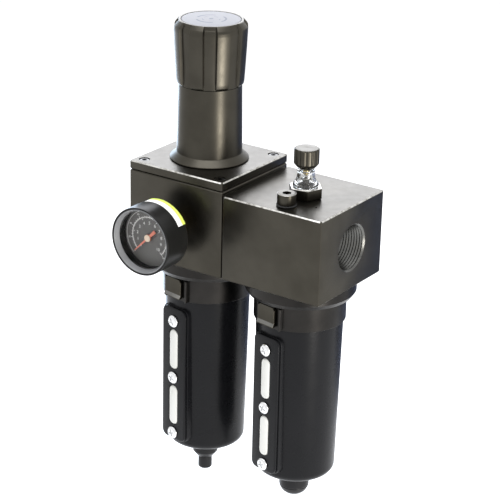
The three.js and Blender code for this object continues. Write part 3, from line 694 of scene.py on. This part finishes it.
def add_prism(marks, outline, height=0.06):
    base = [marks.verts.new((x, y, DIAL_FRONT)) for x, y in outline]
    top = [marks.verts.new((x, y, DIAL_FRONT + height)) for x, y in outline]
    marks.faces.new(base)
    marks.faces.new(top)
    for i in range(len(outline)):
        j = (i + 1) % len(outline)
        marks.faces.new((base[i], base[j], top[j], top[i]))


def dial_arc(marks, radius, width, start, sweep, steps=72):
    inner = [dial_point(radius, start + sweep * i / steps) for i in range(steps + 1)]
    outer = [dial_point(radius + width, start + sweep * i / steps) for i in range(steps + 1)]
    for i in range(steps):
        add_prism(marks, [inner[i], inner[i + 1], outer[i + 1], outer[i]])


def add_number(marks, text, size, radius, clockwise):
    curve = bpy.data.curves.new("number", "FONT")
    curve.body = text
    curve.size = size
    curve.align_x = "CENTER"
    curve.align_y = "CENTER"
    curve.extrude = 0.03
    curve.resolution_u = 4
    holder = bpy.data.objects.new("number", curve)
    bpy.context.scene.collection.objects.link(holder)
    mesh = holder.to_mesh()
    x, y = dial_point(radius, clockwise)
    mesh.transform(shift(x, y, DIAL_FRONT + 0.04))
    marks.from_mesh(mesh)
    holder.to_mesh_clear()
    bpy.data.objects.remove(holder)
    bpy.data.curves.remove(curve)


def make_dial_marks():
    marks = bmesh.new()
    dial_arc(marks, 14.6, 0.55, ZERO_ANGLE, SWEEP)
    dial_arc(marks, 19.6, 0.3, ZERO_ANGLE, SWEEP)
    for i in range(51):
        major = i % 10 == 0
        dial_bar(marks, 13.0 if major else 13.9, 1.6 if major else 0.8, 0.42 if major else 0.22,
                 ZERO_ANGLE + SWEEP * i / 50)
    for i in range(33):
        major = i % 4 == 0
        dial_bar(marks, 15.2, 1.3 if major else 0.7, 0.35 if major else 0.2, ZERO_ANGLE + SWEEP * i / 32)
    for i in range(11):
        add_number(marks, str(i), 3.3, 10.6, ZERO_ANGLE + SWEEP * i / 10)
    for i in range(9):
        add_number(marks, str(i * 20), 2.1, 18.0, ZERO_ANGLE + SWEEP * i / 8)
    bmesh.ops.recalc_face_normals(marks, faces=marks.faces)
    piece("gauge_dial_marks", moved(marks, TO_FRONT), REGULATOR, PRINT, "housing")


def make_pointer():
    blade = extruded([(-1.3, -8.6), (1.3, -8.6), (0.8, 0), (0.32, 16.4), (-0.32, 16.4), (-0.8, 0)],
                     72.3, 72.9, 0.12)
    moved(blade, Matrix.Rotation(-math.radians(ZERO_ANGLE), 4, "Z"))
    shaft = turned([(0, 64), (0.9, 64), (0.9, 72), (2.6, 72), (2.6, 73.6), (0, 74)], FINE, None, 0.25)
    arrow = combined(blade, joins=[shaft])
    piece("gauge_needle", moved(arrow, TO_FRONT), REGULATOR, RED, "gauge_pointer",
          ["gauge_pointer"], 30, (CREAM,),
          lambda normal, centre: math.hypot(centre.x, centre.z) < 2.7 and -centre.y > 72.95)


def make_label():
    """A paper band round the upper right of the can."""
    steps, start, end = 40, -18, 62
    inner, outer = 25.03, 25.16
    band = bmesh.new()
    rows = []
    for i in range(steps + 1):
        angle = math.radians(start + (end - start) * i / steps)
        corners = [(radius, depth) for radius, depth in (
            (inner, 58.6), (outer, 58.6), (outer, 66.5), (inner, 66.5))]
        rows.append([band.verts.new((r * math.sin(angle), r * math.cos(angle), d)) for r, d in corners])
    for lower, upper in zip(rows, rows[1:]):
        for i in range(4):
            j = (i + 1) % 4
            band.faces.new((lower[i], lower[j], upper[j], upper[i]))
    band.faces.new(rows[0])
    band.faces.new(rows[-1])
    bmesh.ops.recalc_face_normals(band, faces=band.faces)
    piece("gauge_label", moved(band, TO_FRONT), REGULATOR, LABEL, "housing")


# ---- bowls ----

PAD_LOW = -177.5
PAD_HIGH = -68.5
PAD_OUT = 32.2
PLATE_OUT = 34.3
WINDOWS = (-102.5, -148.5)
WINDOW_LENGTH = 32.5
SCREWS = (-79.5, -125.5, -171.5)


def bowl_solid():
    arc = [
        (23.6 + 6 * math.cos(math.radians(a)), -179.5 - 6 * math.sin(math.radians(a)))
        for a in range(0, 85, 12)]
    shell = turned([
        (0, -183), (22.6, -182), (26.6, -178), (28.8, -66), (28.8, -32.7), (35.2, -32.7), (35.2, -36.2),
        (31.8, -36.2), (31.8, -63), *arc, (14, -186.3), (10.5, -186.6), (10.5, -189), (0, -189),
    ], TURN, None, 0.25)
    pad = front_plate(26, PAD_LOW, PAD_HIGH, 25.5, PAD_OUT + 0.05, 5, 0.3)
    hole = rod(6.4, -190, -181)
    pocket = front_plate(13.2, PAD_LOW + 1.5, PAD_HIGH - 6.5, 29.5, PAD_OUT + 1, 4)
    slots = [
        front_plate(8, h - WINDOW_LENGTH / 2, h + WINDOW_LENGTH / 2, 20, 31, 3.5) for h in WINDOWS]
    holes = [moved(rod(2.2, 27, 33, 16), shift(z=h) @ TO_FRONT) for h in SCREWS]
    return combined(shell, joins=[pad], cuts=[hole, pocket, *slots, *holes])


def collar_solid():
    sleeve = turned([
        (32.1, -61.5), (33.5, -61.5), (33.5, -43.6), (35.4, -42.8), (35.4, -36.5), (32.1, -36.5),
    ], TURN, None, 0.35)
    lugs = []
    for middle in (30, 150, 270):
        steps = [math.radians(middle - 12 + 24 * i / 8) for i in range(9)]
        outline = [(37.5 * math.cos(a), 37.5 * math.sin(a)) for a in steps]
        outline += [(34.5 * math.cos(a), 34.5 * math.sin(a)) for a in reversed(steps)]
        lugs.append(extruded(outline, -39.7, -36.7))
    housing = combined(
        front_plate(22.5, -61.5, -43.8, 31, 34.8, 1.2, 0.5), cuts=[rod(32.1, -63, -36, TURN)])
    moved(housing, shift(x=1.75))
    latch_way = front_plate(19.9, -64, -43.9, 33, 40, 0.6)
    return combined(sleeve, joins=[*lugs, housing], cuts=[moved(latch_way, shift(x=1.65))])


def latch_solid():
    """Thumb latch: a plate with clipped upper corners and a flared lip at its foot."""
    outline = [(-8, -59), (8, -59), (8, -46.6), (6.6, -44.3), (-5.6, -44.3), (-8, -46)]
    plate = moved(extruded(outline, 33.3, 35.7, 0.35, True), TO_FRONT)
    lip = extruded([(35.2, -55.4), (36.9, -58.7), (36.9, -59.3), (34, -59.3), (34, -55.4)], -8, 8, 0.2)
    spin = Matrix(((0, 0, 1, 0), (-1, 0, 0, 0), (0, 1, 0, 0), (0, 0, 0, 1)))
    return combined(plate, joins=[moved(lip, spin)])


def sight_plate_solid():
    plate = front_plate(24, PAD_LOW + 0.5, PAD_HIGH - 0.5, PAD_OUT + 0.3, PLATE_OUT, 5, 0.7)
    windows = [
        front_plate(9, h - WINDOW_LENGTH / 2, h + WINDOW_LENGTH / 2, 31, PLATE_OUT + 1, 4.4)
        for h in WINDOWS]
    holes = [moved(rod(2.3, 31, 36, 16), shift(z=h) @ TO_FRONT) for h in SCREWS]
    return combined(plate, cuts=[*windows, *holes])


def sight_lens_solid():
    strip = front_plate(12.6, PAD_LOW + 1.8, PAD_HIGH - 6.8, 29.8, PAD_OUT, 4)
    reach = WINDOW_LENGTH / 2 - 0.25
    domes = [front_plate(8.5, h - reach, h + reach, 31, PLATE_OUT + 0.7, 4.2, 1.6) for h in WINDOWS]
    holes = [moved(rod(2.3, 28, 34, 16), shift(z=h) @ TO_FRONT) for h in SCREWS]
    return combined(strip, joins=domes, cuts=holes)


def pan_screw_solid(height, turn):
    seat = PLATE_OUT + 0.3
    screw = turned([(0, 27.3), (1.9, 27.3), (1.9, seat), (4.7, seat), (4.7, seat + 0.9),
                    (3.6, seat + 1.9), (0, seat + 2.15)], FINE, None, 0.35)
    slots = [box((-a, -b, seat + 0.9), (a, b, seat + 4)) for a, b in ((2.7, 0.5), (0.5, 2.7))]
    cross = combined(screw, cuts=slots)
    return moved(cross, shift(z=height) @ TO_FRONT @ Matrix.Rotation(turn, 4, "Z"))


def make_bowl(bowl, prefix, latch_body, unit):
    place = unit @ BOWL_TURN
    piece(f"{bowl}_shell", bowl_solid(), place, ENAMEL, bowl, [bowl], 30)
    # The bayonet ring takes the darker anodising: painted shade under the block.
    piece(f"{bowl}_bayonet_ring", collar_solid(), place, PAINTED_SHADE, bowl,
          [f"{bowl}_collar"], 30)
    # The latch lip's upward faces take the paler anodising: a painted highlight.
    piece(f"{bowl}_thumb_latch", latch_solid(), place, SATIN, latch_body,
          [f"{bowl}_latch"], 30, (PAINTED_HIGHLIGHT,),
          lambda normal, centre: -59.25 < centre.z < -55.2 and normal.z > 0.2)
    piece(f"{prefix}_sight_cover", sight_plate_solid(), place, ENAMEL, bowl,
          [f"{prefix}_sight_frame"], 30)
    piece(f"{prefix}_sight_window", sight_lens_solid(), place, SIGHT, bowl,
          [f"{prefix}_sight_lens"], 30)
    for i, height in enumerate(SCREWS):
        piece(f"{prefix}_pan_screw_{i + 1}", pan_screw_solid(height, 0.5 + 0.7 * i), place, ZINC, bowl,
              [f"{prefix}_sight_screw_{i + 1}"])
    ring = [(32.5 + 1.25 * math.cos(a), -31.15 + 1.25 * math.sin(a))
            for a in (math.pi * k / 8 for k in range(16))]
    piece(f"{bowl}_o_ring", turned(ring, TURN), place, RUBBER, bowl, [f"{bowl}_seal"])


def make_drains():
    seat = -189.3
    flare = -203.1
    foot = -213
    body = turned([
        (2.8, flare), (5.8, flare), (8.4, seat - 10.6), (9.6, seat - 8.9), (9.6, seat), (6.1, seat),
        (6.1, seat + 6.5), (2.8, seat + 6.5),
    ], TURN, None, 0.35)
    piece("drain_valve_body", body, REGULATOR, BLACK_FITTING, "filter_bowl",
          ["drain_body"])
    nozzle = turned([
        (0, foot + 6.2), (1.6, foot + 6.2), (1.6, foot), (4.6, foot), (5.3, foot + 0.9), (5.3, flare - 0.3),
        (2.4, flare - 0.3), (2.4, seat + 5), (0, seat + 5),
    ], TURN, knurl, 0.25)
    piece("drain_nozzle", nozzle, REGULATOR, BLACK_FITTING, "drain_knob", ["drain_knob"])
    foot = -207
    plug = turned([
        (0, seat + 6), (6.1, seat + 6), (6.1, seat), (11.2, seat), (11.2, foot + 7.4), (10.7, foot + 6.8),
        (11, foot + 6.2), (9.4, foot + 2.7), (6.4, foot), (0, foot),
    ], TURN, None, 0.8)
    socket = extruded(polygon(3.4, 6), foot - 2, foot + 7)
    piece("oil_drain_screw_plug", combined(plug, cuts=[socket]), LUBRICATOR, BLACK_FITTING, "oil_bowl",
          ["oil_drain_plug"])


def knurl(angle, radius, height):
    if radius < 5.2 or height > -204:
        return radius
    return radius - 0.2 * max(0, math.cos(24 * angle))


# ---- sight feed and fill plug ----

def make_sight_feed():
    base_top = 39.5
    spindle = turned([
        (1.1, 20.4), (7.9, 20.4), (7.9, 31.8), (9.6, 31.8), (9.6, base_top), (8.4, base_top), (8.4, 35),
        (3, 35), (2.4, 45), (1.1, 46),
    ], FINE, None, 0.15)
    nut = combined(extruded(polygon(12.4, 6, math.radians(10)), 31.8, base_top, 0.6), cuts=[rod(9, 30, 42)])
    piece("dome_base_nut", combined(spindle, joins=[nut]), FEED, SATIN, "housing",
          ["dome_base"], 30, (BARE,),
          lambda normal, centre: normal.z > 0.3 and centre.z > base_top - 1.0)
    dome = turned([
        (7.9, 35.3), (7.9, 39.6), (9.3, 40.2), (9.3, 41.2), (7.6, 43.6), (6.5, 46), (6.2, 49), (6.2, 52.5),
        (2.8, 52.5), (2.8, 51), (4.9, 50.2), (5.1, 46), (6.3, 43), (6.7, 41), (6.6, 35.3),
    ], FINE, None, 0.5)
    piece("sight_feed_dome", dome, FEED, CLEAR, "housing", ["sight_dome"], 40)
    knob = turned([
        (2.6, 52.8), (5.2, 52.8), (6.8, 54), (9, 56.6), (9, 66.8), (8.3, 67.5), (0, 67.5), (0, 60.4),
        (2.6, 60.4),
    ], 240, scallop, 0.3)
    piece("oil_feed_knob", knob, FEED, SATIN, "oil_knob", ["oil_knob"], 30)
    needle = turned([(0, 46.8), (1, 47.6), (1.6, 49.2), (2.3, 49.2), (2.3, 60), (0, 60)], FINE, None, 0.2)
    piece("oil_feed_needle", needle, FEED, BRASS, "oil_needle", ["oil_needle"])
    plug = socket_screw(6.75, 7.6, 4.8, 18, 33.1, 3.4)
    piece("fill_socket_plug", plug, FILL, SATIN, "fill_plug", ["fill_plug"], 30, (BARE,),
          lambda normal, centre: 0.2 < normal.z < 0.98 and centre.z > 39.8)
    washer = tube(5.1, 7.2, 31.8, 32.8, FINE, 0.25)
    piece("fill_washer_ring", washer, FILL, RUBBER, "fill_washer", ["fill_plug_washer"])


def scallop(angle, radius, height):
    if radius < 8.2 or height < 56:
        return radius
    return radius - 0.55 * max(0, math.cos(12 * angle)) ** 2


# ---- pieces that keep their CAD shape ----

KEPT = {
    STEEL: ["adjusting_screw", "range_spring", "valve_spring", "rear_port_plug"],
    BRASS: ["spring_nut", "diaphragm_plate", "valve_poppet", "valve_guide", "gauge_tube", "joining_nipple",
            "venturi_bush"],
    RUBBER: ["diaphragm", "joint_seal"],
    WHITE: ["air_deflector", "element_retainer", "siphon_tube"],
    POROUS: ["filter_element", "siphon_strainer"],
}


def finish_kept_nodes():
    for material, names in KEPT.items():
        for name in names:
            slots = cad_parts[name].data.materials
            slots.clear()
            slots.append(material)


# ---- studio ----

def aim(thing, place, target, roll=0.0):
    look = (Vector(target) - Vector(place)).to_track_quat("-Z", "Y").to_matrix().to_4x4()
    thing.matrix_world = Matrix.Translation(place) @ look @ Matrix.Rotation(math.radians(roll), 4, "Z")


def make_camera():
    azimuth, elevation, roll = (math.radians(a) for a in (34.3, 21.9, 1.33))
    target = Vector((0.10890, -0.04395, -0.00145))
    back = Vector((
        math.sin(azimuth) * math.cos(elevation), -math.cos(azimuth) * math.cos(elevation),
        math.sin(elevation)))
    right = Vector((math.cos(azimuth), math.sin(azimuth), 0))
    up = back.cross(right)
    tilted_right = right * math.cos(roll) + up * math.sin(roll)
    tilted_up = up * math.cos(roll) - right * math.sin(roll)
    camera = bpy.data.objects.new("camera", bpy.data.cameras.new("camera"))
    camera.data.lens = 131.2
    camera.data.sensor_width = 36
    bpy.context.scene.collection.objects.link(camera)
    turn = Matrix((tilted_right, tilted_up, back)).transposed().to_4x4()
    camera.matrix_world = Matrix.Translation(target + back * 1.2713) @ turn
    bpy.context.scene.camera = camera


def soft_light(name, place, target, width, height, power, color=(1, 1, 1)):
    data = bpy.data.lights.new(name, "AREA")
    data.shape = "RECTANGLE"
    data.size = width
    data.size_y = height
    data.energy = power
    data.color = color
    light = bpy.data.objects.new(name, data)
    bpy.context.scene.collection.objects.link(light)
    aim(light, place, target)


def make_floor():
    finish = Finish("pale_floor", (0.9, 0.9, 0.9), 0.9)
    finish.set("Base Color", finish.mix(finish.noise(3, 2), (0.90, 0.90, 0.90), (0.92, 0.92, 0.92)))
    solid = bmesh.new()
    bmesh.ops.create_grid(solid, x_segments=8, y_segments=8, size=6)
    floor = as_object(moved(solid, shift(z=CAD_BOX[0][2] - FLOOR_DROP)), "floor")
    floor.data.materials.append(finish.material)


def make_world():
    world = bpy.data.worlds.new("studio")
    world.use_nodes = True
    world.node_tree.nodes["Background"].inputs["Color"].default_value = (1, 1, 1, 1)
    world.node_tree.nodes["Background"].inputs["Strength"].default_value = 1.1
    bpy.context.scene.world = world


def make_lights():
    middle = (0.08, 0, 0)
    soft_light("back_panel", (-0.9, 1.35, 0.75), middle, 1.7, 1.0, 22, (0.92, 0.94, 1.0))
    soft_light("top_panel", (0.1, -0.1, 1.4), middle, 1.1, 1.1, 14, (0.95, 0.96, 1.0))
    soft_light("right_strip", (0.745, -0.225, -0.15), (0.06, 0, 0.08), 0.13, 0.28, 3.2, (1.0, 0.96, 0.9))
    soft_light("left_strip", (-0.62, 0.42, -0.1), middle, 0.3, 0.9, 4, (0.6, 0.78, 1.0))


def make_grey_card():
    """A dark card for the bowls' right sides to mirror; it is out of sight and casts no shadow."""
    grey = moulded("grey_card", (0.09, 0.11, 0.17), (0.11, 0.13, 0.2), 0.9)
    solid = bmesh.new()
    bmesh.ops.create_grid(solid, x_segments=4, y_segments=4, size=0.45)
    card = as_object(solid, "grey_card")
    card.data.materials.append(grey)
    aim(card, (0.224, 0.848, -0.33), (0.165, 0, 0))
    card.visible_camera = False
    card.visible_diffuse = False
    card.visible_shadow = False


def make_studio():
    make_floor()
    make_world()
    make_lights()
    make_grey_card()
    bpy.context.scene.view_settings.view_transform = "Standard"


make_camera()
make_blocks()
make_bonnet()
make_knob()
make_gauge()
make_bowl("filter_bowl", "filter", "filter_latch", REGULATOR)
make_bowl("oil_bowl", "oil", "oil_latch", LUBRICATOR)
make_drains()
make_sight_feed()
finish_kept_nodes()
make_studio()
